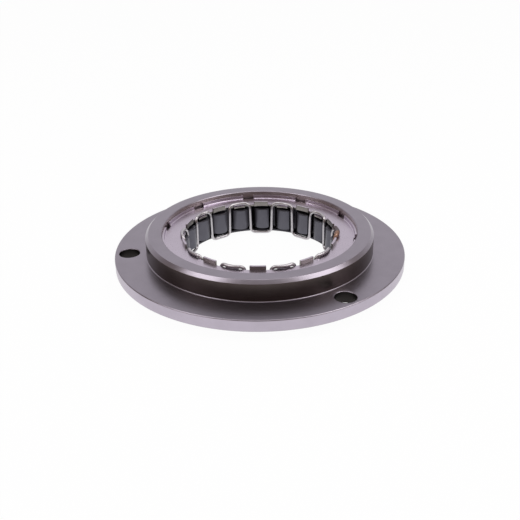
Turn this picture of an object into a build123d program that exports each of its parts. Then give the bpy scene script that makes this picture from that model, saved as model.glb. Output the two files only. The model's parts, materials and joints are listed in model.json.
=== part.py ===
from build123d import *
from math import asin, cos, degrees, floor, pi, radians, sin, sqrt, tan
import os

# One-way sprag clutch for a motorcycle starter gear, in millimetres.
# The clutch axis is Z and the origin is its crossing with the underside of the
# bolting flange. The hub, the cage plate and its upstanding tabs face +Z. The
# starter gear's boss runs inside the sprags.

# Race tracks and the sprags between them
boss_diameter = 57.76          # running diameter of the starter gear's boss
sprag_gap = 8.33               # radial space between the boss and the outer track
sprag_length = 9.2
sprag_width = 7.4              # across the cams
sprag_waist = 5.0              # across the flanks, level with the ribbon spring
sprag_eccentricity = 0.7       # inner cam's centre, to the side of the outer cam's
sprag_edge_radius = 0.35
sprag_heel = 0.7               # heel beside the inner cam's centre, as a share of the cam's radius
free_bite = 0.10               # how far a relaxed sprag reaches inside the boss's surface
sprag_travel = 14.0            # degrees, from the relaxed stop to the open limit
track_clearance = 0.06         # outer cam to track
end_clearance = 0.60           # sprag to plate, room for the ribbon's rail

# Outer race: flange, hub and plate recess
flange_thickness = 4.72
flange_overhang = 12.6         # flange beyond the hub
flange_edge_chamfer = 0.3
hub_rise = 8.34                # hub top above the flange
hub_wall = 6.6                 # hub outside the recess
hub_chamfer = 1.3
hub_foot_radius = 0.4
recess_depth = 3.86            # plate seat below the hub top
recess_chamfer = 0.35
seat_width = 2.1               # shoulder between the track and the recess wall
track_chamfer = 0.5
bolt_count = 3
bolt_hole_diameter = 8.1       # M8 clearance
bolt_offset = 6.8              # bolt circle outside the hub
bolt_hole_chamfer = 0.35
bolt_angle = 65.4              # degrees from +X to the first hole

# Cage plate: one pressing with a sprung rim, notches, upstanding tabs and flat tongues
sheet = 0.8
rim_clearance = 0.06           # rim to recess wall
rim_height = 2.35              # over the plate's underside
rim_bend_radius = 0.5          # inside of the bend
notch_width = 5.0
notch_turn = 8.7               # degrees from a tab's middle to the next notch's
tab_width = 6.2
tab_height = 2.35
tab_setback = 0.1              # tab's outer face inside the plate's edge
tab_bend_radius = 0.25
tab_lean = 0.1                 # tab's top edge, outside its foot
tab_angle = -91.45             # degrees from +X to the first tab's middle
tongue_width = 5.0
tongue_reach = 1.15            # tongue under each arch, inside the plate's edge

# Wire retainer: one round wire, bent over the plate and under the sprags
wire_diameter = 1.35
wire_boss_clearance = 0.75     # wire to boss
wire_side_clearance = 0.35     # wire to sprag, each side
wire_plate_clearance = 0.1     # arch to plate top
wire_slot_clearance = 0.5      # leg to the plate's inner edge
wire_lean = 0.35               # degrees about the axis, from a leg's middle to either end
arch_overhang = 0.4            # arch's corners outside the legs
arch_crown = 1.65              # arch's middle outside the legs, before its bend
arch_corner = 1.9
crown_bend = 8.0
loop_corner = 2.2
knee_radius = 6.0
knee_drop = 1.2                # below the plate's underside, where the legs lean out
loop_drop = 2.05               # loop's middle below the sprags
braze_arch = 2                 # counted from the first tab
braze_diameter = 2.1
braze_under = 0.05             # braze under the wire, the rest lies on top

# Crown cage: bottom ring, inward floor and a bar between each two sprags
cage_track_clearance = 1.4
cage_floor_clearance = 1.1     # sprag to cage floor, room for the ribbon's rail
cage_wire_clearance = 0.25     # cage floor to wire
stop_clearance = 0.06          # relaxed sprag to its bar

# Ribbon spring: ladder strip with a leaf for each sprag
ribbon_thickness = 0.25
ribbon_offset = 0.5            # outside the sprag's pivot
ribbon_clearance = 0.05        # rail to sprag ends, plate and cage floor
ribbon_window_clearance = 0.6  # window to sprag flank
ribbon_bow = 0.7               # each bar's bow towards the axis

# Worked-out radii
boss_radius = boss_diameter / 2
track_radius = boss_radius + sprag_gap
recess_radius = track_radius + seat_width
hub_radius = recess_radius + hub_wall
flange_radius = hub_radius + flange_overhang
bolt_circle_radius = hub_radius + bolt_offset
cam_height = track_radius - track_clearance - (boss_radius - free_bite)
cam_radius = cam_height / 2
pivot_radius = track_radius - track_clearance - cam_radius
wire_radius = wire_diameter / 2
leg_radius = boss_radius + wire_boss_clearance + wire_radius
arch_radius = leg_radius + arch_overhang
crown_radius = leg_radius + arch_crown
braze_radius = braze_diameter / 2
plate_radius = leg_radius + wire_radius + wire_slot_clearance
tab_outer_radius = plate_radius - tab_setback
rim_radius = recess_radius - rim_clearance
cage_radius = track_radius - cage_track_clearance
cage_floor_radius = leg_radius + wire_radius + cage_wire_clearance
ribbon_radius = pivot_radius + ribbon_offset

# Worked-out heights
hub_top = flange_thickness + hub_rise
plate_seat = hub_top - recess_depth
plate_top = plate_seat + sheet
sprag_top = plate_seat - end_clearance
sprag_bottom = sprag_top - sprag_length
cage_floor_top = sprag_bottom - cage_floor_clearance
arch_height = plate_top + wire_radius + wire_plate_clearance
loop_height = sprag_bottom - loop_drop

# The sprags, in pairs: each tab stands over one, each arch over the next
sprag_room = sprag_width + wire_diameter + 2 * wire_side_clearance
pair_count = floor(pi * leg_radius / sprag_room)
sprag_count = 2 * pair_count
pitch = 360 / sprag_count

overcut = 1.0                  # how far a cutting solid runs past what it cuts


def ring(inner, outer, low, high):
    """Plain ring about the clutch axis."""
    wall = Circle(outer) - Circle(inner)
    return extrude(Plane.XY.offset(low) * wall, high - low)


def around(piece, count, first=0.0):
    """Copies of a piece spaced evenly about the clutch axis."""
    return [Rot(0, 0, first + 360 / count * k) * piece for k in range(count)]


def wedge(middle, half_angle, inner, outer, low, high):
    """Sector of a ring, centred on an angle from +X."""
    reach = outer / cos(radians(half_angle))
    corners = [(0, 0)]
    for side in (-1, 1):
        turn = radians(middle + side * half_angle)
        corners.append((reach * cos(turn), reach * sin(turn)))
    sector = make_face(Polyline(*corners, close=True))
    sector = extrude(Plane.XY.offset(low) * sector, high - low)
    return sector & ring(inner, outer, low, high)


def half_angle(width, radius):
    """Half the angle that a width takes up at a radius, in degrees."""
    return degrees(asin(width / 2 / radius))


def outer_race():
    outline = [
        (track_radius, 0),
        (flange_radius, 0),
        (flange_radius, flange_thickness),
        (hub_radius, flange_thickness),
        (hub_radius, hub_top),
        (recess_radius, hub_top),
        (recess_radius, plate_seat),
        (track_radius, plate_seat),
    ]
    section = make_face(Polyline(*outline, close=True))

    def corner(radius, height):
        return section.vertices().sort_by_distance((radius, height))[0]

    section = fillet(corner(hub_radius, flange_thickness), hub_foot_radius)
    cuts = [
        (flange_radius, 0, flange_edge_chamfer),
        (flange_radius, flange_thickness, flange_edge_chamfer),
        (hub_radius, hub_top, hub_chamfer),
        (recess_radius, hub_top, recess_chamfer),
        (track_radius, 0, track_chamfer),
    ]
    for radius, height, size in cuts:
        section = chamfer(corner(radius, height), size)
    body = revolve(Plane.XZ * section, Axis.Z)
    bolt_radius = bolt_hole_diameter / 2
    depth = flange_thickness + 2 * overcut
    drill = Pos(bolt_circle_radius, 0, flange_thickness / 2) * Cylinder(bolt_radius, depth)
    mouth = Pos(bolt_circle_radius, 0, flange_thickness - bolt_hole_chamfer / 2) * Cone(
        bolt_radius, bolt_radius + bolt_hole_chamfer, bolt_hole_chamfer
    )
    return body - around(drill + mouth, bolt_count, bolt_angle)


def cage_plate():
    outer = rim_radius - sheet
    bend = rim_bend_radius
    rim_top = plate_seat + rim_height
    with BuildSketch() as profile:
        with BuildLine():
            start = Line((plate_radius, plate_seat), (rim_radius - bend - sheet, plate_seat))
            turn = RadiusArc(start @ 1, (rim_radius, plate_seat + bend + sheet), -(bend + sheet))
            side = Line(turn @ 1, (rim_radius, rim_top))
            brim = Line(side @ 1, (outer, rim_top))
            inside = Line(brim @ 1, (outer, plate_top + bend))
            fold = RadiusArc(inside @ 1, (outer - bend, plate_top), bend)
            flat = Line(fold @ 1, (plate_radius, plate_top))
            Line(flat @ 1, start @ 0)
        make_face()
    plate = revolve(Plane.XZ * profile.sketch, Axis.Z)
    notch = wedge(
        0,
        half_angle(notch_width, rim_radius),
        outer - bend,
        rim_radius + overcut,
        plate_seat - overcut,
        rim_top + overcut,
    )
    plate -= around(notch, pair_count, tab_angle + notch_turn)
    tongue = wedge(
        0,
        half_angle(tongue_width, plate_radius),
        plate_radius - tongue_reach,
        plate_radius + sheet / 4,
        plate_seat,
        plate_top,
    )
    plate += around(tongue, pair_count, tab_angle + pitch)
    return plate + around(tab(), pair_count, tab_angle)


def tab():
    """Tab turned up from the plate's inner edge, on +X."""
    inner = tab_outer_radius - sheet
    root = plate_radius + sheet / 4
    top = plate_seat + tab_height
    outline = [
        (root, plate_seat),
        (inner, plate_seat),
        (inner + tab_lean, top),
        (tab_outer_radius + tab_lean, top),
        (tab_outer_radius, plate_top),
        (root, plate_top),
    ]
    section = make_face(Polyline(*outline, close=True))
    for fold in ((inner, plate_seat), (tab_outer_radius, plate_top)):
        section = fillet(section.vertices().sort_by_distance(fold)[0], tab_bend_radius)
    spread = half_angle(tab_width, tab_outer_radius)
    return Rot(0, 0, -spread) * revolve(Plane.XZ * section, Axis.Z, 2 * spread)


def sprag():
    """Sprag on +X, relaxed, with its rocking centre at the pivot radius."""
    half = sprag_width / 2
    top = sqrt(cam_radius**2 - half**2)
    inner_radius = sqrt(sprag_eccentricity**2 + pivot_radius**2) - (boss_radius - free_bite)

    def inner_cam(side):
        return side, -sqrt(inner_radius**2 - (side - sprag_eccentricity) ** 2)

    toe = inner_cam(half)
    heel = inner_cam(sprag_eccentricity - sprag_heel * inner_radius)
    drop = half + heel[0]
    slope = (heel[0] - sprag_eccentricity) / heel[1]
    heel_end = (-half, heel[1] + drop * slope)
    waist = sprag_waist / 2
    with BuildSketch() as profile:
        with BuildLine():
            outer = ThreePointArc((-half, top), (0, cam_radius), (half, top))
            right = ThreePointArc(outer @ 1, (waist, ribbon_offset), toe)
            inner = ThreePointArc(right @ 1, (sprag_eccentricity, -inner_radius), heel)
            back = Line(inner @ 1, heel_end)
            ThreePointArc(back @ 1, (-waist, ribbon_offset), outer @ 0)
        make_face()
    section = profile.sketch
    tips = [(-half, top), (half, top), toe, heel_end]
    for tip in tips:
        section = fillet(section.vertices().sort_by_distance(tip)[0], sprag_edge_radius)
    body = extrude(Plane.XY.offset(sprag_bottom) * section, sprag_length)
    return Pos(pivot_radius, 0, 0) * Rot(0, 0, -90) * body


def polar(radius, angle, height):
    return Vector(radius * cos(radians(angle)), radius * sin(radians(angle)), height)


def rounded(corners):
    """Edges through (point, bend radius) corners: straight runs and tangent arcs."""
    edges = []
    last = corners[0][0]
    for before, here, after in zip(corners, corners[1:], corners[2:]):
        point, radius = here
        arrive = (point - before[0]).normalized()
        leave = (after[0] - point).normalized()
        half_turn = radians(arrive.get_angle(leave)) / 2
        reach = radius * tan(half_turn)
        start = point - arrive * reach
        end = point + leave * reach
        inward = (leave - arrive).normalized()
        middle = point + inward * (radius / cos(half_turn) - radius)
        edges.append(Line(last, start))
        edges.append(ThreePointArc(start, middle, end))
        last = end
    edges.append(Line(last, corners[-1][0]))
    return edges


def wire_corners():
    """One pitch of the wire: a loop under the tab at 0 degrees, then an arch."""
    half = pitch / 2
    narrow = half - wire_lean
    wide = half + wire_lean
    knee = plate_seat - knee_drop
    share = (knee - loop_height) / (arch_height - loop_height)
    knee_angle = narrow + (wide - narrow) * share
    middle = (polar(leg_radius, -narrow, loop_height) + polar(leg_radius, -knee_angle, knee)) / 2
    return [
        (middle, 0),
        (polar(leg_radius, -narrow, loop_height), loop_corner),
        (polar(leg_radius, narrow, loop_height), loop_corner),
        (polar(leg_radius, knee_angle, knee), knee_radius),
        (polar(arch_radius, wide, arch_height), arch_corner),
        (polar(crown_radius, pitch, arch_height), crown_bend),
        (polar(arch_radius, 2 * pitch - wide, arch_height), arch_corner),
        (polar(leg_radius, 2 * pitch - knee_angle, knee), knee_radius),
        (middle.rotate(Axis.Z, 2 * pitch), 0),
    ]


def sweep_round(edges, radius):
    path = Wire(edges)
    face = Plane(origin=path @ 0, z_dir=path % 0) * Circle(radius)
    return sweep(face, path)


def braze_joint():
    """Brazed sleeve over the wire's joint, heaped on the top of one arch."""
    edges = rounded(wire_corners())
    lump = sweep_round(edges[8:11], braze_radius)
    lift = braze_radius - wire_radius - braze_under
    sleeve = Pos(0, 0, lift) * lump - sweep_round(edges[7:12], wire_radius)
    return Rot(0, 0, tab_angle + 2 * pitch * braze_arch) * sleeve


def outer_cage():
    """Crown cage: floor, bottom ring and the bars that rise between the sprags."""
    floor_bottom = cage_floor_top - sheet
    inner = cage_radius - sheet
    cage = ring(inner, cage_radius, floor_bottom, plate_seat)
    cage += ring(cage_floor_radius, inner + sheet / 2, floor_bottom, cage_floor_top)
    half = sprag_width / 2
    shoulder = sqrt(cam_radius**2 - half**2)
    swing = radians(sprag_travel)
    stop = half_angle(2 * (half + stop_clearance), cage_radius - sheet / 2)
    swept = half * cos(swing) + shoulder * sin(swing) + stop_clearance
    free = half_angle(2 * swept, cage_radius - sheet / 2)
    window = wedge(
        (free - stop) / 2,
        (free + stop) / 2,
        inner - overcut,
        cage_radius + overcut,
        sprag_bottom - ribbon_clearance,
        plate_seat + overcut,
    )
    return cage - around(window, sprag_count, tab_angle)


def ribbon_spring():
    """Ladder strip: a rail past each end of the sprags, and a bowed bar between each two."""
    inner = ribbon_radius - ribbon_thickness / 2
    outer = ribbon_radius + ribbon_thickness / 2
    low = cage_floor_top + ribbon_clearance
    high = plate_seat - ribbon_clearance
    window_low = sprag_bottom - ribbon_clearance
    window_high = sprag_top + ribbon_clearance
    spring = ring(inner, outer, low, window_low) + ring(inner, outer, window_high, high)
    window = half_angle(sprag_waist + 2 * ribbon_window_clearance, ribbon_radius)
    reach = radians(pitch / 2 - window)

    def strip(radius):
        side = radius * cos(reach)
        rise = radius * sin(reach)
        return ThreePointArc((side, -rise), (radius - ribbon_bow, 0), (side, rise))

    with BuildSketch() as profile:
        with BuildLine():
            near = strip(inner)
            far = strip(outer)
            Line(near @ 0, far @ 0)
            Line(near @ 1, far @ 1)
        make_face()
    bar = extrude(Plane.XY.offset(window_low) * profile.sketch, window_high - window_low)
    return spring + around(bar, sprag_count, tab_angle + pitch / 2)


def wire_retainer():
    turns = around(sweep_round(rounded(wire_corners()), wire_radius), pair_count, tab_angle)
    return turns[0].fuse(*turns[1:])


def save(name, piece):
    piece.label = name
    export_step(piece, f"parts/{name}.step")


os.makedirs("parts", exist_ok=True)
save("outer_race", outer_race())
save("cage_plate", cage_plate())
save("outer_cage", outer_cage())
save("ribbon_spring", ribbon_spring())
save("wire_retainer", wire_retainer())
save("braze_joint", braze_joint())
for number, piece in enumerate(around(sprag(), sprag_count, tab_angle), start=1):
    save(f"sprag_{number:02d}", piece)
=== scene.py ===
import json
from math import atan2, cos, pi, radians, sin, sqrt, tan

import bmesh
import bpy
from bpy.props import FloatProperty, FloatVectorProperty, IntProperty, PointerProperty
from mathutils import Matrix, Vector

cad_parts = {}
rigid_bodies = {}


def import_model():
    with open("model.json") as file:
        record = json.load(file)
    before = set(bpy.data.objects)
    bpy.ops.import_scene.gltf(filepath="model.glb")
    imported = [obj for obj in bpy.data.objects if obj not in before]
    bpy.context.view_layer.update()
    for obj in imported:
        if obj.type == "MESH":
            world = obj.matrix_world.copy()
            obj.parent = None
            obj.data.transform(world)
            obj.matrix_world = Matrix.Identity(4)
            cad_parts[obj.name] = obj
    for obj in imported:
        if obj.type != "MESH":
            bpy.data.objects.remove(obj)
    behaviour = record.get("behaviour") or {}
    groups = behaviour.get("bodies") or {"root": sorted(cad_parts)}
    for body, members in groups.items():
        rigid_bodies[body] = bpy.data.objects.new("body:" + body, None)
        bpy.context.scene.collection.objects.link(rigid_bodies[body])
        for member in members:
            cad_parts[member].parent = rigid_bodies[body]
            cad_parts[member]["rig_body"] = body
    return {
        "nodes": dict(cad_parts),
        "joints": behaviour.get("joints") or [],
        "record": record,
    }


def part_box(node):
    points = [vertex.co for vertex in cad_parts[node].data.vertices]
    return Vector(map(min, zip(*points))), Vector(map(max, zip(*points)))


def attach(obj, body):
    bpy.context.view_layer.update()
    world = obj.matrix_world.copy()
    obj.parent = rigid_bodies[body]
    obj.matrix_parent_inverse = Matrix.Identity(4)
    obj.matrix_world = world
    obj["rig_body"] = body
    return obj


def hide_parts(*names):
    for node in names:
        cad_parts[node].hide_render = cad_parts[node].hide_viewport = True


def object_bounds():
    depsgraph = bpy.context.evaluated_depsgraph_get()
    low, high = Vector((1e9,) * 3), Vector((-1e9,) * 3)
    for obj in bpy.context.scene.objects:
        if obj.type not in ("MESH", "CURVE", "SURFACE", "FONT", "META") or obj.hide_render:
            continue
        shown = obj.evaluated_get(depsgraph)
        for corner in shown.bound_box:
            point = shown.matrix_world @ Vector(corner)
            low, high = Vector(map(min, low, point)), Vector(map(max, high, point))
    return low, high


bl_info = {
    "name": "Sprag clutch finish",
    "version": (1, 0, 0),
    "blender": (4, 5, 0),
    "location": "View3D > Sidebar > Clutch",
    "description": "Fine surfaces, materials and a studio for a starter gear's sprag clutch",
    "category": "Object",
}

MM = 0.001

# The clutch as it was packed, with the sizes that its record and its nodes give
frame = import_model()
CAD_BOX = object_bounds()
MOUNTS = {mount["name"]: mount for mount in frame["record"]["mounts"]}
BOLTS = MOUNTS["flange_bolts"]["dims"]
HUB_RADIUS = MOUNTS["hub_pilot"]["dims"]["r_mm"] * MM
BOSS_RADIUS = MOUNTS["boss_seat"]["dims"]["r_mm"] * MM
FLANGE_TOP = MOUNTS["flange_upper_face"]["pos_m"][2]
RACE_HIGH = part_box("outer_race")[1]
PLATE_LOW, PLATE_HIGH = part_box("cage_plate")
WIRE_LOW, WIRE_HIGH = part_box("wire_retainer")
SPRAG_LOW, SPRAG_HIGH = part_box("sprag_01")

# The sprags stand a step apart on their pivots. Each pair has one under a tab and one under an arch
SPRAGS = sorted(name for name in frame["nodes"] if name.startswith("sprag_"))
PIVOTS = {joint["child"]: Vector(joint["pos_m"]) for joint in frame["joints"]}
PIVOT_RADIUS = PIVOTS["sprag_01"].xy.length
FIRST_TAB = atan2(PIVOTS["sprag_01"].y, PIVOTS["sprag_01"].x)
PAIRS = len(SPRAGS) // 2
STEP = 2 * pi / len(SPRAGS)

# How near counts as one vertex, one point of an outline and one height or radius
WELD = 0.0001 * MM
SAME_POINT = 0.001 * MM
NEAR = 0.01 * MM

# Sides of the race and of a bolt hole round the full turn, and one side of the plate
RACE_SIDES = 288
DRILL_SIDES = 64
PLATE_SIDE = radians(1.2)

# Steps of the plate's rim bend and tab folds, and of a sprag's cams and flanks
RIM_BEND_STEPS, FOLD_STEPS = 6, 4
CAM_STEPS, FLANK_STEPS = 16, 8

# Upward part of a face's normal: under the first it is a wall, over the second it is level
WALL_LEAN, LEVEL_LEAN = 0.3, 0.9

# The race's materials, in the order in which its mesh has them
TURNED, SHADED_WALL, DRILLED, RIM, RECESS = range(5)

# A loop's two bends and the knee after them come before the three bends of an arch
LOOP_BENDS, ARCH_BENDS = 3, 3

# Thickness of the braze metal along its arch, as shares of its diameter
BRAZE_SWELL = (0.6, 0.95, 1.0, 0.9, 1.0, 0.6)

# Sockets of a Mix node set to colours, whose names repeat
MIX_FACTOR, MIX_FIRST, MIX_SECOND, MIX_RESULT = 0, 6, 7, 2

# Most of a noise pattern lies between these
NOISE_LOW, NOISE_HIGH = 0.3, 0.7

# Where the studio's back wall and its ceiling fade in, as parts of a unit direction
BACK_FADE = (0.15, 0.75)
CEILING_FADE = (0.78, 0.95)

# What the eye sees of the sky and the floor's glow, and the camera sensor's width in mm
WHITE = (1.0, 1.0, 1.0, 1.0)
SENSOR_WIDTH = 36


def linear(code):
    """Linear red, green and blue of an sRGB hex colour."""
    parts = [int(code[i : i + 2], 16) / 255 for i in (1, 3, 5)]
    return tuple(p / 12.92 if p <= 0.04045 else ((p + 0.055) / 1.055) ** 2.4 for p in parts)


def length(label, about, value):
    """A size, in metres, that a user may change."""
    return FloatProperty(name=label, description=about, default=value, unit="LENGTH", precision=5)


def angle(label, about, value):
    """An angle, in radians, that a user may change."""
    return FloatProperty(name=label, description=about, default=value, subtype="ANGLE")


def plain(label, about, value):
    """A plain number that a user may change."""
    return FloatProperty(name=label, description=about, default=value, min=0.0)


def colour(label, about, code):
    """A colour that a user may change."""
    return FloatVectorProperty(
        name=label, description=about, default=linear(code), subtype="COLOR", min=0.0, max=1.0
    )


class RaceSettings(bpy.types.PropertyGroup):
    """Sizes and colours of the outer race."""

    flange_radius: length("Flange radius", "Axis to the flange's rim", RACE_HIGH.x)
    flange_top: length("Flange thickness", "Flange's lower face to its upper one", FLANGE_TOP)
    hub_radius: length("Hub radius", "Axis to the hub's wall", HUB_RADIUS)
    hub_top: length("Hub top", "Flange's lower face to the hub's top", RACE_HIGH.z)
    hub_chamfer: length("Hub chamfer", "Chamfer round the hub's top", 1.3 * MM)
    recess_gap: length("Recess gap", "Cage plate's rim to the recess wall", 0.06 * MM)
    recess_chamfer: length("Recess chamfer", "Chamfer at the recess's mouth", 0.35 * MM)
    seat_width: length("Seat width", "Shoulder that the cage plate lies on", 2.1 * MM)
    track_chamfer: length("Track chamfer", "Chamfer where the sprags' track ends", 0.5 * MM)
    edge_break: length("Edge break", "Chamfer on the flange's rim", 0.3 * MM)
    foot_radius: length("Foot radius", "Fillet between flange and hub", 0.4 * MM)
    soft_edge: length("Soft edge", "Rounding left on each turned corner", 0.1 * MM)
    bolt_circle: length("Bolt circle radius", "Axis to the bolt holes", BOLTS["pcd_mm"] / 2 * MM)
    bolt_radius: length("Bolt hole radius", "Half a bolt hole", BOLTS["hole_r_mm"] * MM)
    bolt_chamfer: length("Bolt hole chamfer", "Chamfer at a bolt hole's mouth", 0.35 * MM)
    bolt_angle: angle("Bolt angle", "From +X to the first bolt hole", radians(65.4))
    bolt_count: IntProperty(
        name="Bolt holes", description="Bolt holes in the flange", default=BOLTS["count"]
    )
    steel: colour("Turned steel", "Turned and ground faces", "#9B949E")
    # Painted sheen on the flange's rim, for the bright floor that it mirrors
    rim_sheen: colour("Ground steel", "Flange's rim, ground brighter than the faces", "#BBB2BF")
    # Paler than the turned faces with painted light for what the recess wall mirrors, and warmer in
    # tint
    recess: colour("Recess steel", "Recess wall, with a straw tint from hardening", "#BAB1AF")
    # Painted shade on the hub's wall and the track, for the dark room that they mirror
    wall: colour("Hardened wall", "Walls left brown-grey by hardening", "#5F5654")
    # Painted shade inside the bolt holes, for the shadowed floor beneath them
    hole_shade: colour("Bolt hole", "Drilled walls, dark with scale and oil", "#343130")
    roughness: plain("Roughness", "Roughness of the turned steel", 0.31)
    bore_roughness: plain("Bolt hole roughness", "Roughness of the drilled walls", 0.41)


class PlateSettings(bpy.types.PropertyGroup):
    """Sizes and colours of the cage plate."""

    hole_radius: length("Hole radius", "Axis to the plate's inner edge", BOSS_RADIUS + 2.6 * MM)
    sheet: length("Sheet", "Thickness of the pressed sheet", 0.8 * MM)
    bend: length("Rim bend", "Inside radius of the rim's bend", 0.5 * MM)
    notch: length("Notch width", "Width of each notch in the rim", 5.0 * MM)
    notch_turn: angle("Notch turn", "From a tab's middle to the next notch's", radians(8.7))
    tab: length("Tab width", "Width of each upturned tab", 6.2 * MM)
    setback: length("Tab setback", "Tab's outer face inside the plate's edge", 0.1 * MM)
    tab_bend: length("Tab bend", "Bend of the tab's face that looks to the axis", 0.45 * MM)
    lean: length("Tab lean", "Tab's top edge outside its foot", 0.1 * MM)
    tongue: length("Tongue width", "Width of each flat tongue under an arch", 5.0 * MM)
    tongue_reach: length("Tongue reach", "Tongue inside the plate's edge", 1.15 * MM)
    soft_edge: length("Soft edge", "Rounding left on the pressed edges", 0.08 * MM)
    steel: colour("Pressed steel", "Satin sheet steel, on the flat", "#C8BECB")
    # Painted shade on the tabs and other upright faces near the middle
    upright_shade: colour("Bent steel", "Tabs, which pressing and heat left darker", "#96918E")
    cage: colour("Phosphated steel", "Dark crown cage and ribbon spring", "#46444A")
    roughness: plain("Roughness", "Roughness of the sheet", 0.3)
    cage_roughness: plain("Cage roughness", "Roughness of the phosphated steel", 0.4)


class SpragSettings(bpy.types.PropertyGroup):
    """Sizes and colour of the sprags."""

    track_gap: length("Track gap", "Outer cam to the track", 0.06 * MM)
    gap: length("Sprag space", "Boss to the track", 8.33 * MM)
    bite: length("Free bite", "Relaxed sprag's reach inside the boss's surface", 0.1 * MM)
    width: length("Width", "Across the cams", 7.4 * MM)
    waist: length("Waist", "Across the flanks", 5.0 * MM)
    waist_offset: length("Waist offset", "Rocking centre to the waist, outwards", 0.5 * MM)
    eccentricity: length("Eccentricity", "Inner cam's centre beside the outer cam's", 0.7 * MM)
    heel: plain("Heel", "Inner cam's end beside its centre, as a share of its radius", 0.7)
    corner: length("Corner", "Rounding of the long edges", 0.35 * MM)
    end_edge: length("End edge", "Rounding of the end faces' edges", 0.4 * MM)
    steel: colour("Sprag steel", "Tumbled bearing steel", "#626169")
    roughness: plain("Roughness", "Roughness of the sprags", 0.33)


class WireSettings(bpy.types.PropertyGroup):
    """Sizes and colours of the wire retainer and its brazed joint."""

    diameter: length("Wire diameter", "Round wire", 1.35 * MM)
    boss_gap: length("Boss gap", "Legs to the boss's surface", 0.75 * MM)
    lean: angle("Lean", "About the axis, from a leg's middle to either end", radians(0.35))
    overhang: length("Arch overhang", "Arches' corners outside the legs", 0.4 * MM)
    crown: length("Arch crown", "Arches' middle outside the legs, before its bend", 1.65 * MM)
    arch_corner: length("Arch corner", "Bend radius at an arch's ends", 1.9 * MM)
    crown_bend: length("Crown bend", "Bend radius at an arch's middle", 8.0 * MM)
    loop_corner: length("Loop corner", "Bend radius at a loop's ends", 2.2 * MM)
    knee: length("Knee", "Bend radius where a leg leans out", 6.0 * MM)
    knee_drop: length("Knee drop", "Knee below the plate's underside", 1.2 * MM)
    braze_diameter: length("Braze diameter", "Lump of braze metal on the joint", 2.1 * MM)
    braze_under: length("Braze underside", "Braze metal below the wire", 0.05 * MM)
    braze_arch: IntProperty(
        name="Brazed arch", description="Arches before the one with the joint", default=2
    )
    scale_start: length("Scale start", "Braze's near end to where its scale begins", 3.0 * MM)
    scale_full: length("Scale full", "Braze's near end to where scale covers it", 4.2 * MM)
    steel: colour("Drawn wire", "Bright drawn steel wire", "#C4C0C4")
    # Painted shade on the arches' undersides, where they lie over the sheet
    underside_shade: colour("Oily wire", "Undersides of the arches, brown with oil", "#4A4240")
    braze: colour("Braze", "Copper braze dulled by heat", "#A08070")
    scale: colour("Braze scale", "Grey scale on the far end of the braze", "#6E6468")
    roughness: plain("Roughness", "Roughness of the wire", 0.33)
    braze_roughness: plain("Braze roughness", "Roughness of the braze", 0.5)


class StageSettings(bpy.types.PropertyGroup):
    """Camera, floor and light."""

    distance: length("Camera distance", "Aim to lens", 313.3 * MM)
    elevation: angle("Camera elevation", "Above the flange's plane", radians(26.86))
    roll: angle("Camera roll", "Turn about the line of sight", radians(-0.81))
    aim_height: length("Aim height", "Aim above the flange's lower face", -1.78 * MM)
    aim_side: length("Aim side", "Aim to the right of the axis", 0.05 * MM)
    lens: plain("Lens", "Focal length on a 36 mm sensor, in mm", 52.53)
    floor: colour("Floor", "Pale matt floor", "#F4F3F4")
    floor_size: length("Floor size", "Side of the square floor", 6.0)
    floor_glow: plain("Floor glow", "Share of the floor that the eye sees as plain white", 0.97)
    room: colour("Room", "Dim warm room on the camera's side", "#7A6C64")
    back_wall: colour("Back wall", "Pale wall behind the clutch", "#E5E3E6")
    ceiling: colour("Ceiling", "Soft ceiling overhead", "#D7D4D4")
    lamp_glow: plain("Lamp glow", "Each soft box, in watts per square metre", 8.8)
    left_width: length("Left width", "Width of the soft box on the left", 0.28)
    left_height: length("Left height", "Height of the soft box on the left", 0.33)
    right_width: length("Right width", "Width of the soft box on the right", 0.34)
    right_height: length("Right height", "Height of the soft box on the right", 0.43)
    top_side: length("Top soft box", "Side of the small soft box overhead", 0.2)
    lamp_distance: length("Lamp distance", "Soft box to the clutch", 0.62)
    lamp_elevation: angle("Lamp elevation", "Side soft boxes above the floor", radians(51))
    left_azimuth: angle("Left azimuth", "Camera to the soft box on the left", radians(68))
    right_azimuth: angle("Right azimuth", "Camera to the soft box on the right", radians(76))


def clutch(context):
    """Every setting of the clutch."""
    return context.scene.clutch_finish


# ---- Materials ----


def add_node(tree, kind, values=None, links=None, **settings):
    """Adds a node with its settings, input values and input links."""
    node = tree.nodes.new(kind)
    for name, value in settings.items():
        setattr(node, name, value)
    for key, value in (values or {}).items():
        node.inputs[key].default_value = value
    for key, socket in (links or {}).items():
        if socket:
            tree.links.new(socket, node.inputs[key])
    return node


def new_material(name):
    """An empty node material and its tree."""
    material = bpy.data.materials.new(name)
    material.use_nodes = True
    material.node_tree.nodes.clear()
    return material, material.node_tree


def metal(tree, base, tint, roughness, pattern=None, swing=None, depth=0.0, strength=0.0):
    """Metal surface into the material's output, tinted from its base colour.

    Its roughness may swing down and up with a pattern, and bumps of a real depth, in metres,
    may follow the same pattern.
    """
    gloss = normal = None
    if swing:
        down, up = swing
        ends = {"To Min": roughness - down, "To Max": roughness + up}
        gloss = add_node(
            tree,
            "ShaderNodeMapRange",
            {"From Min": NOISE_LOW, "From Max": NOISE_HIGH, **ends},
            {"Value": pattern},
        ).outputs["Result"]
    if depth:
        normal = add_node(
            tree,
            "ShaderNodeBump",
            {"Strength": strength, "Distance": depth},
            {"Height": pattern},
        ).outputs["Normal"]
    surface = add_node(
        tree,
        "ShaderNodeBsdfPrincipled",
        {"Metallic": 1.0, "Roughness": roughness, "Base Color": (*base, 1.0)},
        {"Base Color": tint, "Roughness": gloss, "Normal": normal},
    )
    add_node(tree, "ShaderNodeOutputMaterial", links={"Surface": surface.outputs["BSDF"]})


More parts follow.
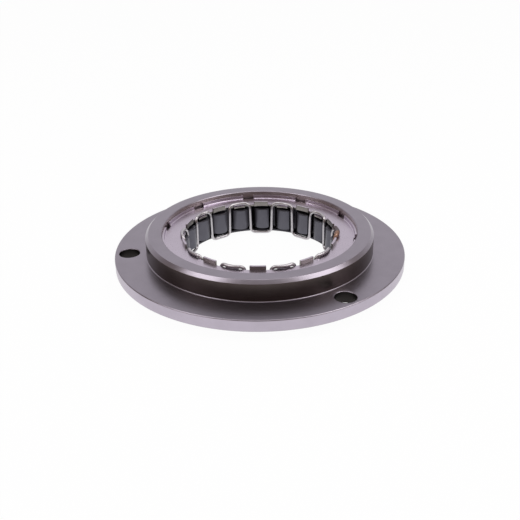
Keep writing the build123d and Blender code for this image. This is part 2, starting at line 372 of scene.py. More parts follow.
def shade_between(tree, factor, base, dark, light, painted=None):
    """A base colour, or a painted one, varied from a darker to a lighter share by a factor."""
    spread = add_node(
        tree, "ShaderNodeMapRange", {"To Min": dark, "To Max": light}, {"Value": factor}
    )
    return add_node(
        tree,
        "ShaderNodeVectorMath",
        {0: base},
        {0: painted, "Scale": spread.outputs["Result"]},
        operation="SCALE",
    ).outputs["Vector"]


def patches(tree, size, detail=3.0):
    """Soft blotches of a real size in metres."""
    place = add_node(tree, "ShaderNodeTexCoord")
    return add_node(
        tree,
        "ShaderNodeTexNoise",
        {"Scale": 1 / size, "Detail": detail, "Roughness": 0.55},
        {"Vector": place.outputs["Object"]},
    ).outputs["Fac"]


def lathe_rings(tree, pitch):
    """Rings about the clutch axis, as a lathe tool leaves them, on flat faces and walls alike."""
    place = add_node(tree, "ShaderNodeTexCoord")
    flat = add_node(
        tree,
        "ShaderNodeVectorMath",
        {1: (1.0, 1.0, 0.0)},
        {0: place.outputs["Object"]},
        operation="MULTIPLY",
    )
    radius = add_node(
        tree, "ShaderNodeVectorMath", links={0: flat.outputs["Vector"]}, operation="LENGTH"
    )
    height = add_node(tree, "ShaderNodeSeparateXYZ", links={"Vector": place.outputs["Object"]})
    travel = add_node(
        tree,
        "ShaderNodeMath",
        links={0: radius.outputs["Value"], 1: height.outputs["Z"]},
        operation="ADD",
    )
    return add_node(
        tree,
        "ShaderNodeTexNoise",
        {"Scale": 1 / pitch, "Detail": 2.0, "Roughness": 0.6},
        {"W": travel.outputs["Value"]},
        noise_dimensions="1D",
    ).outputs["Fac"]


def turned_steel(base, roughness):
    """Hardened steel, faced on a lathe and lightly ground: satin, with faint rings about the axis.

    The rings of a real facing cut are about 0.1 mm apart. They are drawn 0.45 mm apart, so
    that they show.
    """
    material, tree = new_material("Turned hardened steel")
    rings = lathe_rings(tree, pitch=0.45 * MM)
    tint = shade_between(tree, patches(tree, size=6 * MM), base, dark=0.9, light=1.1)
    metal(tree, base, tint, roughness, rings, swing=(0.03, 0.04), depth=0.01 * MM, strength=0.05)
    return material


def shaded_wall(base, roughness):
    """Turned wall, darkened brown-grey with painted shade, and even in gloss.

    Its rings are drawn 0.35 mm apart, so that they show.
    """
    material, tree = new_material("Heat-darkened steel wall")
    rings = lathe_rings(tree, pitch=0.35 * MM)
    tint = shade_between(tree, patches(tree, size=5 * MM), base, dark=0.86, light=1.14)
    metal(tree, base, tint, roughness, rings, depth=0.01 * MM, strength=0.1)
    return material


def drilled_wall(base, roughness):
    """Drilled wall of a bolt hole: darkened with painted shade, and rougher than the turned faces.
    """
    material, tree = new_material("Drilled steel wall")
    tint = shade_between(tree, patches(tree, size=3 * MM), base, dark=0.85, light=1.15)
    metal(tree, base, tint, roughness)
    return material


def lying_level(tree):
    """1 on level faces and 0 on upright ones."""
    facing = add_node(tree, "ShaderNodeNewGeometry")
    parts = add_node(
        tree, "ShaderNodeSeparateXYZ", links={"Vector": facing.outputs["True Normal"]}
    )
    lean = add_node(tree, "ShaderNodeMath", links={0: parts.outputs["Z"]}, operation="ABSOLUTE")
    return add_node(
        tree,
        "ShaderNodeMapRange",
        {"From Min": WALL_LEAN, "From Max": LEVEL_LEAN},
        {"Value": lean.outputs["Value"]},
    ).outputs["Result"]


def further_out(tree, reach):
    """0 within a reach of the clutch's middle, and 1 from a millimetre outside it."""
    place = add_node(tree, "ShaderNodeTexCoord")
    away = add_node(
        tree, "ShaderNodeVectorMath", links={0: place.outputs["Object"]}, operation="LENGTH"
    )
    return add_node(
        tree,
        "ShaderNodeMapRange",
        {"From Min": reach, "From Max": reach + 1 * MM},
        {"Value": away.outputs["Value"]},
    ).outputs["Result"]


def pressed_steel(base, upright_shade, roughness, reach):
    """Cold-rolled sheet after pressing and tumbling: pale satin, with a fine tumbled grain.

    Upright faces within a reach of the middle get painted shade, in the tabs' darker colour.
    """
    material, tree = new_material("Pressed sheet steel")
    grain = patches(tree, size=0.5 * MM, detail=2.0)
    pale = add_node(
        tree,
        "ShaderNodeMath",
        links={0: lying_level(tree), 1: further_out(tree, reach)},
        operation="MAXIMUM",
    )
    # Upright faces near the middle take the darker colour as painted shade; level faces and the rim
    # keep the base
    sheet = add_node(
        tree,
        "ShaderNodeMix",
        {MIX_FIRST: (*upright_shade, 1.0), MIX_SECOND: (*base, 1.0)},
        {MIX_FACTOR: pale.outputs["Value"]},
        data_type="RGBA",
    ).outputs[MIX_RESULT]
    cloud = patches(tree, size=8 * MM)
    tint = shade_between(tree, cloud, base, dark=0.93, light=1.07, painted=sheet)
    metal(tree, base, tint, roughness, grain, swing=(0.04, 0.06), depth=0.006 * MM, strength=0.06)
    return material


def sprag_steel(base, roughness):
    """Bearing steel, drawn to its cam section, hardened and tumbled: dark, smooth and blue-grey."""
    material, tree = new_material("Tumbled bearing steel")
    grain = patches(tree, size=0.7 * MM, detail=2.0)
    tint = shade_between(tree, patches(tree, size=4 * MM), base, dark=0.88, light=1.12)
    metal(tree, base, tint, roughness, grain, swing=(0.04, 0.07), depth=0.006 * MM, strength=0.12)
    return material


def shaded_underside(tree, sheet_top):
    """Mask of the painted shade: 1 on a wire's side that looks outwards and down to the sheet below
    it, and 0 elsewhere.

    It comes in over 0.3 mm of height above the sheet, as the surface turns from level to
    facing down, and as it turns outwards from the clutch's middle.
    """
    place = add_node(tree, "ShaderNodeTexCoord")
    spot = add_node(tree, "ShaderNodeSeparateXYZ", links={"Vector": place.outputs["Object"]})
    facing = add_node(tree, "ShaderNodeNewGeometry")
    parts = add_node(tree, "ShaderNodeSeparateXYZ", links={"Vector": facing.outputs["Normal"]})
    away = add_node(
        tree,
        "ShaderNodeVectorMath",
        links={0: facing.outputs["Normal"], 1: place.outputs["Object"]},
        operation="DOT_PRODUCT",
    )
    side = None
    for measure, start, full in (
        (spot.outputs["Z"], sheet_top, sheet_top + 0.3 * MM),
        (parts.outputs["Z"], 0.1, -0.15),
        (away.outputs["Value"], 0.0, 10 * MM),
    ):
        part = add_node(
            tree, "ShaderNodeMapRange", {"From Min": start, "From Max": full}, {"Value": measure}
        ).outputs["Result"]
        if side:
            part = add_node(
                tree, "ShaderNodeMath", links={0: side, 1: part}, operation="MULTIPLY"
            ).outputs["Value"]
        side = part
    return side


def drawn_wire(base, dark, roughness, sheet_top):
    """Bright drawn spring wire: smooth and shiny, with painted shade on its arches' undersides."""
    material, tree = new_material("Drawn steel wire")
    grain = patches(tree, size=0.8 * MM, detail=2.0)
    # The arches' undersides are darkened with painted shade towards the sheet below them
    wire = add_node(
        tree,
        "ShaderNodeMix",
        {MIX_FIRST: (*base, 1.0), MIX_SECOND: (*dark, 1.0)},
        {MIX_FACTOR: shaded_underside(tree, sheet_top)},
        data_type="RGBA",
    ).outputs[MIX_RESULT]
    metal(tree, base, wire, roughness, grain, swing=(0.04, 0.06))
    return material


def braze_metal(wire, near_end):
    """Copper braze, browned by the torch: uneven in colour and gloss, scaled grey at one end."""
    material, tree = new_material("Oxidised copper braze")
    cloud = patches(tree, size=0.9 * MM)
    tint = shade_between(tree, cloud, wire.braze, dark=0.55, light=1.4)
    place = add_node(tree, "ShaderNodeTexCoord")
    along = add_node(
        tree,
        "ShaderNodeMapping",
        {"Rotation": (0.0, 0.0, -near_end)},
        {"Vector": place.outputs["Object"]},
    )
    far = add_node(tree, "ShaderNodeSeparateXYZ", links={"Vector": along.outputs["Vector"]})
    fade = add_node(
        tree,
        "ShaderNodeMapRange",
        {"From Min": wire.scale_start, "From Max": wire.scale_full},
        {"Value": far.outputs["Y"]},
    )
    lump = add_node(
        tree,
        "ShaderNodeMix",
        {MIX_SECOND: (*wire.scale, 1.0)},
        {MIX_FACTOR: fade.outputs["Result"], MIX_FIRST: tint},
        data_type="RGBA",
    ).outputs[MIX_RESULT]
    swing = (0.15, 0.1)
    metal(tree, wire.braze, lump, wire.braze_roughness, cloud, swing, depth=0.05 * MM, strength=0.4)
    return material


# ---- Mesh helpers ----


def to_piece(bm, name, materials):
    """An object from a finished bmesh, with its faces outwards."""
    bmesh.ops.remove_doubles(bm, verts=bm.verts, dist=WELD)
    bmesh.ops.recalc_face_normals(bm, faces=bm.faces)
    mesh = bpy.data.meshes.new(name)
    bm.to_mesh(mesh)
    bm.free()
    for material in materials:
        mesh.materials.append(material)
    piece = bpy.data.objects.new(name, mesh)
    bpy.context.scene.collection.objects.link(piece)
    return piece


def smooth(piece, crease):
    """Smooth shading, with a crease wherever two faces meet at more than an angle."""
    piece.data.shade_smooth()
    piece.data.set_sharp_from_angle(angle=crease)
    weighted = piece.modifiers.new("Even shading", "WEIGHTED_NORMAL")
    weighted.keep_sharp = True


def freeze(piece):
    """Applies a piece's modifiers and clears them."""
    graph = bpy.context.evaluated_depsgraph_get()
    mesh = bpy.data.meshes.new_from_object(piece.evaluated_get(graph))
    piece.modifiers.clear()
    piece.data = mesh


def dress(piece, node):
    """Lets a piece stand for its CAD node, on that node's body."""
    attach(piece, frame["nodes"][node]["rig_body"])
    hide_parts(node)


def verts_of(geometry):
    """The vertices among what an operator made."""
    return [item for item in geometry if isinstance(item, bmesh.types.BMVert)]


def outline(bm, points, closed=True):
    """Vertices and edges through (radius, height) points in the XZ plane."""
    verts = [bm.verts.new((radius, 0, height)) for radius, height in points]
    for first, second in zip(verts, verts[1:]):
        bm.edges.new((first, second))
    if closed:
        bm.edges.new((verts[-1], verts[0]))
    return verts


def spin(bm, geometry, sweep, steps, centre=(0, 0, 0), axis=(0, 0, 1), closed=False):
    """Spins geometry about an axis and returns its last copy."""
    made = bmesh.ops.spin(
        bm, geom=geometry, cent=centre, axis=axis, angle=sweep, steps=steps, use_merge=closed
    )
    return made["geom_last"]


def arc(bm, vert, centre, sweep, steps, axis=(0, 0, 1)):
    """Spins a vertex about a centre and returns the vertex at the arc's end."""
    return verts_of(spin(bm, [vert], sweep, steps, centre, axis))[0]


def turn(bm, verts, sweep):
    """Turns vertices about the clutch axis."""
    bmesh.ops.rotate(bm, cent=(0, 0, 0), matrix=Matrix.Rotation(sweep, 3, "Z"), verts=verts)


def round_off(bm, geometry, radius, segments, affect="VERTICES"):
    """Rounds corners of an outline, or edges of a solid."""
    bmesh.ops.bevel(
        bm,
        geom=geometry,
        offset=radius,
        segments=segments,
        profile=0.5,
        affect=affect,
        material=-1,
    )


def polar(radius, turned, height):
    """Point at a radius, an angle and a height about the clutch axis."""
    return Vector((radius * cos(turned), radius * sin(turned), height))


# ---- Outer race ----


def race_outline(race):
    """Section of the race, from the track's foot round the flange and hub to the track's top."""
    rim, top = race.flange_radius, race.flange_top
    recess = PLATE_HIGH.x + race.recess_gap
    track = recess - race.seat_width
    return [
        (track + race.track_chamfer, 0),
        (rim - race.edge_break, 0),
        (rim, race.edge_break),
        (rim, top - race.edge_break),
        (rim - race.edge_break, top),
        (race.hub_radius, top),
        (race.hub_radius, race.hub_top - race.hub_chamfer),
        (race.hub_radius - race.hub_chamfer, race.hub_top),
        (recess + race.recess_chamfer, race.hub_top),
        (recess, race.hub_top - race.recess_chamfer),
        (recess, PLATE_LOW.z),
        (track, PLATE_LOW.z),
        (track, race.track_chamfer),
    ]


def bolt_cutter(race):
    """A stepped plug for each bolt hole and its chamfer."""
    bm = bmesh.new()
    over = 1 * MM
    radius, top = race.bolt_radius, race.flange_top
    wide = radius + race.bolt_chamfer
    section = [
        (0, -over),
        (radius, -over),
        (radius, top - race.bolt_chamfer),
        (wide, top),
        (wide + over, top + over),
        (0, top + over),
    ]
    outline(bm, section, closed=False)
    spin(bm, bm.verts[:] + bm.edges[:], 2 * pi, DRILL_SIDES, closed=True)
    bmesh.ops.remove_doubles(bm, verts=bm.verts, dist=WELD)
    bmesh.ops.translate(bm, vec=(race.bolt_circle, 0, 0), verts=bm.verts)
    turn(bm, bm.verts, race.bolt_angle)
    first = bm.verts[:] + bm.edges[:] + bm.faces[:]
    for hole in range(1, race.bolt_count):
        copy = bmesh.ops.duplicate(bm, geom=first)["geom"]
        turn(bm, verts_of(copy), 2 * pi * hole / race.bolt_count)
    return to_piece(bm, "bolt_cutter", [])


def drill(piece, race):
    """Cuts the bolt holes."""
    cutter = bolt_cutter(race)
    holes = piece.modifiers.new("Bolt holes", "BOOLEAN")
    holes.object = cutter
    holes.solver = "EXACT"
    freeze(piece)
    bpy.data.objects.remove(cutter)


def race_finish(race, face):
    """Which of the race's materials a face has."""
    reach = face.center.xy.length
    recess = PLATE_HIGH.x + race.recess_gap
    if abs(face.normal.z) >= WALL_LEAN:
        return TURNED
    # The recess wall gets the paler material of painted light
    if abs(reach - recess) < race.seat_width / 2:
        return RECESS
    # Hub and track walls get the darker material of painted shade
    if reach < race.hub_radius + race.soft_edge:
        return SHADED_WALL
    # Bolt hole walls get the dark material of painted shade
    if reach < race.bolt_circle + race.bolt_radius + race.soft_edge:
        return DRILLED
    # The flange's rim gets the brighter material of painted sheen
    return RIM


class CLUTCH_OT_outer_race(bpy.types.Operator):
    """Turn the outer race: its section spun about the axis, then drilled"""

    bl_idname = "clutch.outer_race"
    bl_label = "Outer race"

    def execute(self, context):
        race = clutch(context).race
        bm = bmesh.new()
        points = race_outline(race)
        section = outline(bm, points)
        foot = section[points.index((race.hub_radius, race.flange_top))]
        corners = [vert for vert in section if vert is not foot]
        round_off(bm, [foot], race.foot_radius, segments=4)
        round_off(bm, corners, race.soft_edge, segments=2)
        spin(bm, bm.verts[:] + bm.edges[:], 2 * pi, RACE_SIDES, closed=True)
        finishes = {
            TURNED: turned_steel(race.steel, race.roughness),
            SHADED_WALL: shaded_wall(race.wall, race.roughness),
            DRILLED: drilled_wall(race.hole_shade, race.bore_roughness),
            RIM: turned_steel(race.rim_sheen, race.roughness),
            RECESS: turned_steel(race.recess, race.roughness),
        }
        piece = to_piece(bm, "race_surface", finishes.values())
        drill(piece, race)
        for face in piece.data.polygons:
            face.material_index = race_finish(race, face)
        smooth(piece, crease=radians(50))
        dress(piece, "outer_race")
        return {"FINISHED"}


# ---- Cage plate ----


def plate_spans(plate):
    """(start, end) of a tab, the notch after it and the next tongue, from the tab's middle."""
    tab_half = plate.tab / 2 / (plate.hole_radius - plate.setback)
    notch_half = plate.notch / 2 / PLATE_HIGH.x
    tongue_half = plate.tongue / 2 / plate.hole_radius
    return (
        (-tab_half, tab_half),
        (plate.notch_turn - notch_half, plate.notch_turn + notch_half),
        (STEP - tongue_half, STEP + tongue_half),
    )


def in_span(point, span, start):
    """Whether a point lies in a span of its pitch, where a pitch runs from a tab's start."""
    turned = (atan2(point.y, point.x) - FIRST_TAB - start) % (2 * STEP) + start
    return span[0] < turned < span[1]


def spin_sheet(bm, plate, stops):
    """Spins the plate's underside and its rim about the axis, with an edge at every stop."""
    rim, low, high = PLATE_HIGH.x, PLATE_LOW.z, PLATE_HIGH.z
    bend = plate.bend + plate.sheet
    start = outline(bm, [(plate.hole_radius, low), (rim - bend, low)], closed=False)
    centre = (rim - bend, 0, low + bend)
    end = arc(bm, start[1], centre, -pi / 2, RIM_BEND_STEPS, axis=(0, 1, 0))
    top = bm.verts.new((rim, 0, high))
    bm.edges.new((end, top))
    turn(bm, bm.verts, FIRST_TAB + stops[0])
    line = bm.verts[:] + bm.edges[:]
    for _ in range(PAIRS):
        for here, there in zip(stops, stops[1:]):
            line = spin(bm, line, there - here, max(1, round((there - here) / PLATE_SIDE)))
    bmesh.ops.remove_doubles(bm, verts=bm.verts, dist=SAME_POINT)


def cut_notches(bm, plate, notch, start):
    """Cuts the notches out of the turned-up rim."""
    foot = PLATE_HIGH.x - plate.bend - plate.sheet
    notched = []
    for face in bm.faces:
        middle = face.calc_center_median()
        if in_span(middle, notch, start) and middle.xy.length > foot:
            notched.append(face)
    bmesh.ops.delete(bm, geom=notched, context="FACES")


def inner_edges(bm, plate, span, start):
    """Edges of the plate's hole within a span of each pitch."""
    edges = []
    for edge in bm.edges:
        middle = (edge.verts[0].co + edge.verts[1].co) / 2
        inside = edge.is_boundary and middle.xy.length < plate.hole_radius + NEAR
        if inside and in_span(middle, span, start):
            edges.append(edge)
    return edges


def grow(bm, edges, radius, new_radius, rise):
    """Extrudes edges round the axis to a new radius and height, and returns the new edges."""
    made = bmesh.ops.extrude_edge_only(bm, edges=edges)["geom"]
    verts = verts_of(made)
    ratio = new_radius / radius
    bmesh.ops.scale(bm, vec=(ratio, ratio, 1), verts=verts)
    bmesh.ops.translate(bm, vec=(0, 0, rise), verts=verts)
    grown = [item for item in made if isinstance(item, bmesh.types.BMEdge)]
    return [edge for edge in grown if set(edge.verts) <= set(verts)]


def fold_tabs(bm, plate, tabs):
    """Draws the tabs in to their fold, round it and up to the rim's height."""
    face = plate.hole_radius - plate.setback - plate.sheet
    fold = plate.tab_bend
    profile = []
    for step in range(FOLD_STEPS + 1):
        swing = pi / 2 * step / FOLD_STEPS
        profile.append((face + fold * (1 - sin(swing)), fold * (1 - cos(swing))))
    profile.append((face + plate.lean, PLATE_HIGH.z - PLATE_LOW.z))
    radius, height = plate.hole_radius, 0
    for new_radius, new_height in profile:
        tabs = grow(bm, tabs, radius, new_radius, new_height - height)
        radius, height = new_radius, new_height


def thicken(piece, plate):
    """Gives the sheet its thickness, up from its underside, and softens its edges."""
    flipped = sum(face.normal.z * face.area for face in piece.data.polygons) < 0
    wall = piece.modifiers.new("Sheet", "SOLIDIFY")
    wall.thickness = plate.sheet
    wall.offset = -1 if flipped else 1
    wall.use_even_offset = True
    freeze(piece)
    soft = piece.modifiers.new("Soft edges", "BEVEL")
    soft.width = plate.soft_edge
    soft.segments = 2
    soft.limit_method = "ANGLE"
    soft.angle_limit = radians(40)
    freeze(piece)


class CLUTCH_OT_cage_plate(bpy.types.Operator):
    """Press the cage plate: a spun sheet with a notched rim, upturned tabs and flat tongues"""

    bl_idname = "clutch.cage_plate"
    bl_label = "Cage plate"

    def execute(self, context):
        plate = clutch(context).plate
        tab, notch, tongue = plate_spans(plate)
        start = tab[0]
        bm = bmesh.new()
        spin_sheet(bm, plate, sorted((*tab, *notch, *tongue, start + 2 * STEP)))
        cut_notches(bm, plate, notch, start)
        tabs = inner_edges(bm, plate, tab, start)
        tongues = inner_edges(bm, plate, tongue, start)
        grow(bm, tongues, plate.hole_radius, plate.hole_radius - plate.tongue_reach, 0)
        fold_tabs(bm, plate, tabs)
        tab_reach = plate.hole_radius + 2 * (plate.bend + plate.sheet)
        # Upright faces within the tabs' reach get painted shade
        sheet = pressed_steel(plate.steel, plate.upright_shade, plate.roughness, tab_reach)
        piece = to_piece(bm, "plate_surface", [sheet])
        thicken(piece, plate)
        smooth(piece, crease=radians(50))
        dress(piece, "cage_plate")
        return {"FINISHED"}


# ---- Sprags ----


def arc_through(bm, vert, middle, end, steps):
    """Arc in the XY plane from a vertex, through a middle point, to an end point."""
    # The centre of the circle through a, b and c is worked out from a
    a, b, c = vert.co.xy, Vector(middle), Vector(end)
    ab, ac = b - a, c - a
    twice = 2 * (ab.x * ac.y - ab.y * ac.x)
    centre = a + Vector(
        (
            (ac.y * ab.length_squared - ab.y * ac.length_squared) / twice,
            (ab.x * ac.length_squared - ac.x * ab.length_squared) / twice,
        )
    )
    sweep = (c - centre).angle_signed(a - centre)
    if twice > 0 and sweep < 0:
        sweep += 2 * pi
    if twice < 0 and sweep > 0:
        sweep -= 2 * pi
    return arc(bm, vert, (*centre, vert.co.z), sweep, steps)


def sprag_section(bm, sprag):
    """Section of a sprag about its rocking centre, with the outer cam up and the inner one down."""
    low = SPRAG_LOW.z
    half, flank = sprag.width / 2, sprag.waist / 2
    offset = sprag.eccentricity
    cam = (sprag.gap - sprag.track_gap + sprag.bite) / 2
    inner = sqrt(offset**2 + PIVOT_RADIUS**2) - (BOSS_RADIUS - sprag.bite)
    top = sqrt(cam**2 - half**2)
    toe = (half, -sqrt(inner**2 - (half - offset) ** 2))
    heel_x = offset - sprag.heel * inner
    heel = (heel_x, -sqrt(inner**2 - (heel_x - offset) ** 2))
    heel_end = (-half, heel[1] + (half + heel_x) * (heel_x - offset) / heel[1])
    first = bm.verts.new((-half, top, low))
    vert = arc_through(bm, first, (0, cam), (half, top), CAM_STEPS)
    vert = arc_through(bm, vert, (flank, sprag.waist_offset), toe, FLANK_STEPS)
    vert = arc_through(bm, vert, (offset, -inner), heel, CAM_STEPS)
    tail = bm.verts.new((*heel_end, low))
    bm.edges.new((vert, tail))
    arc_through(bm, tail, (-flank, sprag.waist_offset), (-half, top), FLANK_STEPS)
    bmesh.ops.remove_doubles(bm, verts=bm.verts, dist=SAME_POINT)
    tips = [Vector((*tip, low)) for tip in ((-half, top), (half, top), toe, heel_end)]
    corners = [min(bm.verts, key=lambda item: (item.co - tip).length) for tip in tips]
    round_off(bm, corners, sprag.corner, segments=4)


def sprag_master(sprag):
    """One sprag with its rocking centre on the axis."""
    bm = bmesh.new()
    sprag_section(bm, sprag)
    face = bmesh.ops.contextual_create(bm, geom=bm.edges[:])["faces"]
    made = bmesh.ops.extrude_face_region(bm, geom=face)["geom"]
    bmesh.ops.translate(bm, vec=(0, 0, SPRAG_HIGH.z - SPRAG_LOW.z), verts=verts_of(made))
    bmesh.ops.recalc_face_normals(bm, faces=bm.faces)
    ends = []
    for edge in bm.edges:
        first, second = edge.verts
        if abs(first.co.z - second.co.z) < NEAR:
            ends.append(edge)
    round_off(bm, ends, sprag.end_edge, segments=2, affect="EDGES")
    return to_piece(bm, "sprag_surface", [sprag_steel(sprag.steel, sprag.roughness)])


class CLUTCH_OT_sprags(bpy.types.Operator):
    """Shape one sprag from its two cams and waist, and set a copy at every pivot"""

    bl_idname = "clutch.sprags"
    bl_label = "Sprags"

    def execute(self, context):
        master = sprag_master(clutch(context).sprag)
        for name in SPRAGS:
            pivot = PIVOTS[name]
            outward = atan2(pivot.y, pivot.x)
            place = Matrix.Translation((pivot.x, pivot.y, 0))
            mesh = master.data.copy()
            mesh.transform(place @ Matrix.Rotation(outward - pi / 2, 4, "Z"))
            piece = bpy.data.objects.new(name.replace("sprag", "sprag_surface"), mesh)
            context.scene.collection.objects.link(piece)
            smooth(piece, crease=radians(40))
            dress(piece, name)
        bpy.data.objects.remove(master)
        return {"FINISHED"}


# ---- Wire retainer ----


def wire_pitch(wire):
    """(point, bend radius) of each bend of one pitch: a loop under the first tab, then an arch."""
    radius = wire.diameter / 2
    leg = BOSS_RADIUS + wire.boss_gap + radius
    high = WIRE_HIGH.z - radius
    low = WIRE_LOW.z + radius
    knee_height = PLATE_LOW.z - wire.knee_drop
    narrow = STEP / 2 - wire.lean
    wide = STEP / 2 + wire.lean
    knee = narrow + (wide - narrow) * (knee_height - low) / (high - low)
    out = leg + wire.overhang
    bends = [
        (leg, -narrow, low, wire.loop_corner),
        (leg, narrow, low, wire.loop_corner),
        (leg, knee, knee_height, wire.knee),
        (out, wide, high, wire.arch_corner),
        (leg + wire.crown, STEP, high, wire.crown_bend),
        (out, 2 * STEP - wide, high, wire.arch_corner),
        (leg, 2 * STEP - knee, knee_height, wire.knee),
    ]
    return [(polar(r, FIRST_TAB + turned, z), bend) for r, turned, z, bend in bends]


def bend_points(before, corner, after, radius):
    """A bend's two ends where it leaves the straight wire, each with its handle into the bend."""
    arrive = (corner - before).normalized()
    leave = (after - corner).normalized()
    turned = arrive.angle(leave)
    reach = radius * tan(turned / 2)
    handle = radius * 4 / 3 * tan(turned / 4)
    start, end = corner - arrive * reach, corner + leave * reach
    return [(start, start + arrive * handle), (end, end - leave * handle)]


def wire_points(wire):
    """Bezier points of the whole retainer, two for each bend."""
    pitch = wire_pitch(wire)
    corners = []
    for pair in range(PAIRS):
        place = Matrix.Rotation(2 * STEP * pair, 3, "Z")
        corners += [(place @ point, radius) for point, radius in pitch]
    bends = []
    for index, (corner, radius) in enumerate(corners):
        before = corners[index - 1][0]
        after = corners[(index + 1) % len(corners)][0]
        bends.append(bend_points(before, corner, after, radius))
    points = []
    for index, (start, end) in enumerate(bends):
        last = bends[index - 1][1][0]
        following = bends[(index + 1) % len(bends)][0][0]
        points.append((start[0].lerp(last, 1 / 3), start[0], start[1]))
        points.append((end[1], end[0], end[0].lerp(following, 1 / 3)))
    return points


def bezier(name, points, diameter, cyclic=False, swell=None):
    """Round wire along Bezier points, each with its handles, as a bmesh."""
    curve = bpy.data.curves.new(name, "CURVE")
    curve.dimensions = "3D"
    curve.bevel_depth = diameter / 2
    curve.bevel_resolution = 5
    curve.resolution_u = 6
    curve.use_fill_caps = not cyclic
    spline = curve.splines.new("BEZIER")
    spline.bezier_points.add(len(points) - 1)
    spline.use_cyclic_u = cyclic
    swell = swell or [1.0] * len(points)
    for point, (left, here, right), thickness in zip(spline.bezier_points, points, swell):
        point.handle_left_type = "FREE"
        point.handle_right_type = "FREE"
        point.handle_left, point.co, point.handle_right = left, here, right
        point.radius = thickness
    line = bpy.data.objects.new(name, curve)
    bpy.context.scene.collection.objects.link(line)
    bpy.context.view_layer.update()
    graph = bpy.context.evaluated_depsgraph_get()
    mesh = bpy.data.meshes.new_from_object(line.evaluated_get(graph))
    bpy.data.objects.remove(line)
    bm = bmesh.new()
    bm.from_mesh(mesh)
    return bm


class CLUTCH_OT_wire_retainer(bpy.types.Operator):
    """Bend the wire retainer, and lay braze metal over its joint"""

    bl_idname = "clutch.wire_retainer"
    bl_label = "Wire retainer"

    def execute(self, context):
        wire, plate = clutch(context).wire, clutch(context).plate
        points = wire_points(wire)
        # The wire's material paints shade on its arches' undersides
        bright = drawn_wire(wire.steel, wire.underside_shade, wire.roughness, PLATE_LOW.z + plate.sheet)
        bm = bezier("wire", points, wire.diameter, cyclic=True)
        piece = to_piece(bm, "wire_surface", [bright])
        piece.data.shade_smooth()
        dress(piece, "wire_retainer")
        first = len(points) // PAIRS * wire.braze_arch + 2 * LOOP_BENDS
        arch = points[first : first + 2 * ARCH_BENDS]
        lift = Vector((0, 0, (wire.braze_diameter - wire.diameter) / 2 - wire.braze_under))
        arch = [[spot + lift for spot in point] for point in arch]
        near_end = arch[0][1]
        dull = braze_metal(wire, atan2(near_end.y, near_end.x))
        bm = bezier("braze", arch, wire.braze_diameter, swell=BRAZE_SWELL)
        lump = to_piece(bm, "braze_surface", [dull])
        lump.data.shade_smooth()
        dress(lump, "braze_joint")
        return {"FINISHED"}


# ---- Inner cage, which mostly hides behind the sprags ----


class CLUTCH_OT_inner_cage(bpy.types.Operator):
    """Finish the crown cage and the ribbon spring, whose solids already have their true shape"""

    bl_idname = "clutch.inner_cage"
    bl_label = "Inner cage"

    def execute(self, context):
        plate = clutch(context).plate
        dull = pressed_steel(plate.cage, plate.cage, plate.cage_roughness, plate.hole_radius)
        for node in ("outer_cage", "ribbon_spring"):
            mesh = frame["nodes"][node].data
            mesh.materials.clear()
            mesh.materials.append(dull)
        return {"FINISHED"}


# ---- Stage ----


def floor_material(stage):
    """Matt white floor that the eye and reflections see as almost plain white."""
    material, tree = new_material("Matt white floor")
    matt = add_node(tree, "ShaderNodeBsdfDiffuse", {"Color": (*stage.floor, 1.0)})
    glow = add_node(tree, "ShaderNodeEmission", {"Color": WHITE, "Strength": 1.0})
    seen = add_node(tree, "ShaderNodeLightPath")
    either = add_node(
        tree,
        "ShaderNodeMath",
        links={0: seen.outputs["Is Camera Ray"], 1: seen.outputs["Is Glossy Ray"]},
        operation="MAXIMUM",
    )
    part = add_node(
        tree,
        "ShaderNodeMath",
        {1: stage.floor_glow},
        {0: either.outputs["Value"]},
        operation="MULTIPLY",
    )
    mixed = add_node(
        tree,
        "ShaderNodeMixShader",
        links={0: part.outputs["Value"], 1: matt.outputs["BSDF"], 2: glow.outputs["Emission"]},
    )
    add_node(tree, "ShaderNodeOutputMaterial", links={"Surface": mixed.outputs["Shader"]})
    return material


def studio_world(stage):
    """Studio round the table: pale wall behind, dim warm room on the camera's side, soft ceiling.

    The eye sees plain white in its place.
    """
    world = bpy.data.worlds.new("Studio")
    world.use_nodes = True
    tree = world.node_tree
    tree.nodes.clear()
    place = add_node(tree, "ShaderNodeTexCoord")
    way = add_node(tree, "ShaderNodeSeparateXYZ", links={"Vector": place.outputs["Generated"]})
    around = None
    for side, (start, full), paint in (
        ("Y", BACK_FADE, stage.back_wall),
        ("Z", CEILING_FADE, stage.ceiling),
    ):
        fade = add_node(
            tree,
            "ShaderNodeMapRange",
            {"From Min": start, "From Max": full},
            {"Value": way.outputs[side]},
            interpolation_type="SMOOTHSTEP",
        )
        around = add_node(
            tree,
            "ShaderNodeMix",
            {MIX_FIRST: (*stage.room, 1.0), MIX_SECOND: (*paint, 1.0)},
            {MIX_FACTOR: fade.outputs["Result"], MIX_FIRST: around},
            data_type="RGBA",
        ).outputs[MIX_RESULT]
    room = add_node(tree, "ShaderNodeBackground", {"Strength": 1.0}, {"Color": around})
    white = add_node(tree, "ShaderNodeBackground", {"Color": WHITE, "Strength": 1.0})
    seen = add_node(tree, "ShaderNodeLightPath")
    mixed = add_node(
        tree,
        "ShaderNodeMixShader",
        links={
            0: seen.outputs["Is Camera Ray"],
            1: room.outputs["Background"],
            2: white.outputs["Background"],
        },
    )
    add_node(tree, "ShaderNodeOutputWorld", links={"Surface": mixed.outputs["Shader"]})
    return world


def lay_floor(stage):
    """A square floor under the clutch."""
    bm = bmesh.new()
    bmesh.ops.create_grid(bm, x_segments=1, y_segments=1, size=stage.floor_size / 2)
    bmesh.ops.translate(bm, vec=(0, 0, CAD_BOX[0][2]), verts=bm.verts)
    floor = to_piece(bm, "floor", [floor_material(stage)])


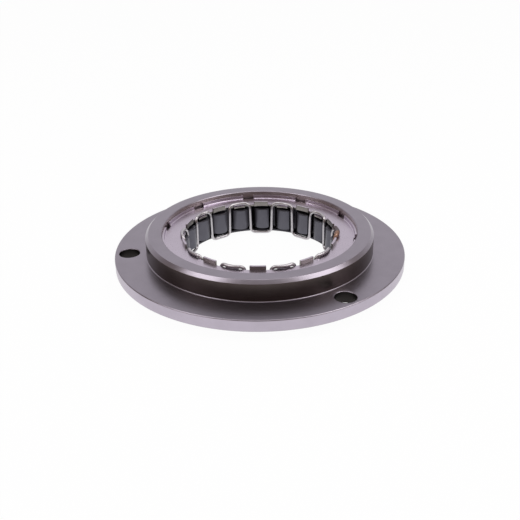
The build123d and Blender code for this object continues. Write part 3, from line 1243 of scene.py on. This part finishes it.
def hang_soft_box(scene, stage, azimuth, elevation, width, height):
    """A soft box that looks at the clutch, turned from the camera's side by an azimuth."""
    lamp = bpy.data.lights.new("Soft box", "AREA")
    lamp.shape = "RECTANGLE"
    lamp.energy = stage.lamp_glow * width * height
    lamp.size = width
    lamp.size_y = height
    box = bpy.data.objects.new("Soft box", lamp)
    flat = cos(elevation)
    aim = Vector((sin(azimuth) * flat, -cos(azimuth) * flat, sin(elevation)))
    box.location = aim * stage.lamp_distance
    box.rotation_euler = aim.to_track_quat("Z", "Y").to_euler()
    scene.collection.objects.link(box)


def set_camera(scene, stage):
    """The camera, in front of the clutch and above it."""
    lens = bpy.data.cameras.new("Camera")
    lens.lens = stage.lens
    lens.sensor_width = SENSOR_WIDTH
    camera = bpy.data.objects.new("Camera", lens)
    back = Vector((0, -cos(stage.elevation), sin(stage.elevation)))
    camera.location = Vector((stage.aim_side, 0, stage.aim_height)) + back * stage.distance
    roll = Matrix.Rotation(stage.roll, 3, "Z")
    camera.rotation_euler = (back.to_track_quat("Z", "Y").to_matrix() @ roll).to_euler()
    scene.collection.objects.link(camera)
    scene.camera = camera


class CLUTCH_OT_stage(bpy.types.Operator):
    """Set the floor, the soft boxes and the camera"""

    bl_idname = "clutch.stage"
    bl_label = "Stage"

    def execute(self, context):
        stage = clutch(context).stage
        scene = context.scene
        scene.view_settings.view_transform = "Standard"
        scene.world = studio_world(stage)
        lay_floor(stage)
        for azimuth, elevation, width, height in (
            (-stage.left_azimuth, stage.lamp_elevation, stage.left_width, stage.left_height),
            (stage.right_azimuth, stage.lamp_elevation, stage.right_width, stage.right_height),
            (0, pi / 2, stage.top_side, stage.top_side),
        ):
            hang_soft_box(scene, stage, azimuth, elevation, width, height)
        set_camera(scene, stage)
        return {"FINISHED"}


# ---- Add-on ----


class ClutchSettings(bpy.types.PropertyGroup):
    """Every setting of the clutch, by piece."""

    race: PointerProperty(type=RaceSettings, name="Outer race", description="Outer race")
    plate: PointerProperty(type=PlateSettings, name="Cage plate", description="Cage plate")
    sprag: PointerProperty(type=SpragSettings, name="Sprags", description="Sprags")
    wire: PointerProperty(type=WireSettings, name="Wire", description="Wire retainer and braze")
    stage: PointerProperty(type=StageSettings, name="Stage", description="Camera, floor and light")


OPERATORS = (
    CLUTCH_OT_outer_race,
    CLUTCH_OT_cage_plate,
    CLUTCH_OT_sprags,
    CLUTCH_OT_wire_retainer,
    CLUTCH_OT_inner_cage,
    CLUTCH_OT_stage,
)


class CLUTCH_PT_pieces(bpy.types.Panel):
    """Buttons that make each group of pieces"""

    bl_idname = "CLUTCH_PT_pieces"
    bl_label = "Sprag clutch"
    bl_space_type = "VIEW_3D"
    bl_region_type = "UI"
    bl_category = "Clutch"

    def draw(self, context):
        for operator in OPERATORS:
            self.layout.operator(operator.bl_idname)


CLASSES = (
    RaceSettings,
    PlateSettings,
    SpragSettings,
    WireSettings,
    StageSettings,
    ClutchSettings,
    *OPERATORS,
    CLUTCH_PT_pieces,
)


def register():
    for item in CLASSES:
        bpy.utils.register_class(item)
    bpy.types.Scene.clutch_finish = PointerProperty(type=ClutchSettings)


def unregister():
    del bpy.types.Scene.clutch_finish
    for item in reversed(CLASSES):
        bpy.utils.unregister_class(item)


def main():
    register()
    bpy.ops.clutch.outer_race()
    bpy.ops.clutch.cage_plate()
    bpy.ops.clutch.sprags()
    bpy.ops.clutch.wire_retainer()
    bpy.ops.clutch.inner_cage()
    bpy.ops.clutch.stage()


if __name__ == "__main__":
    main()
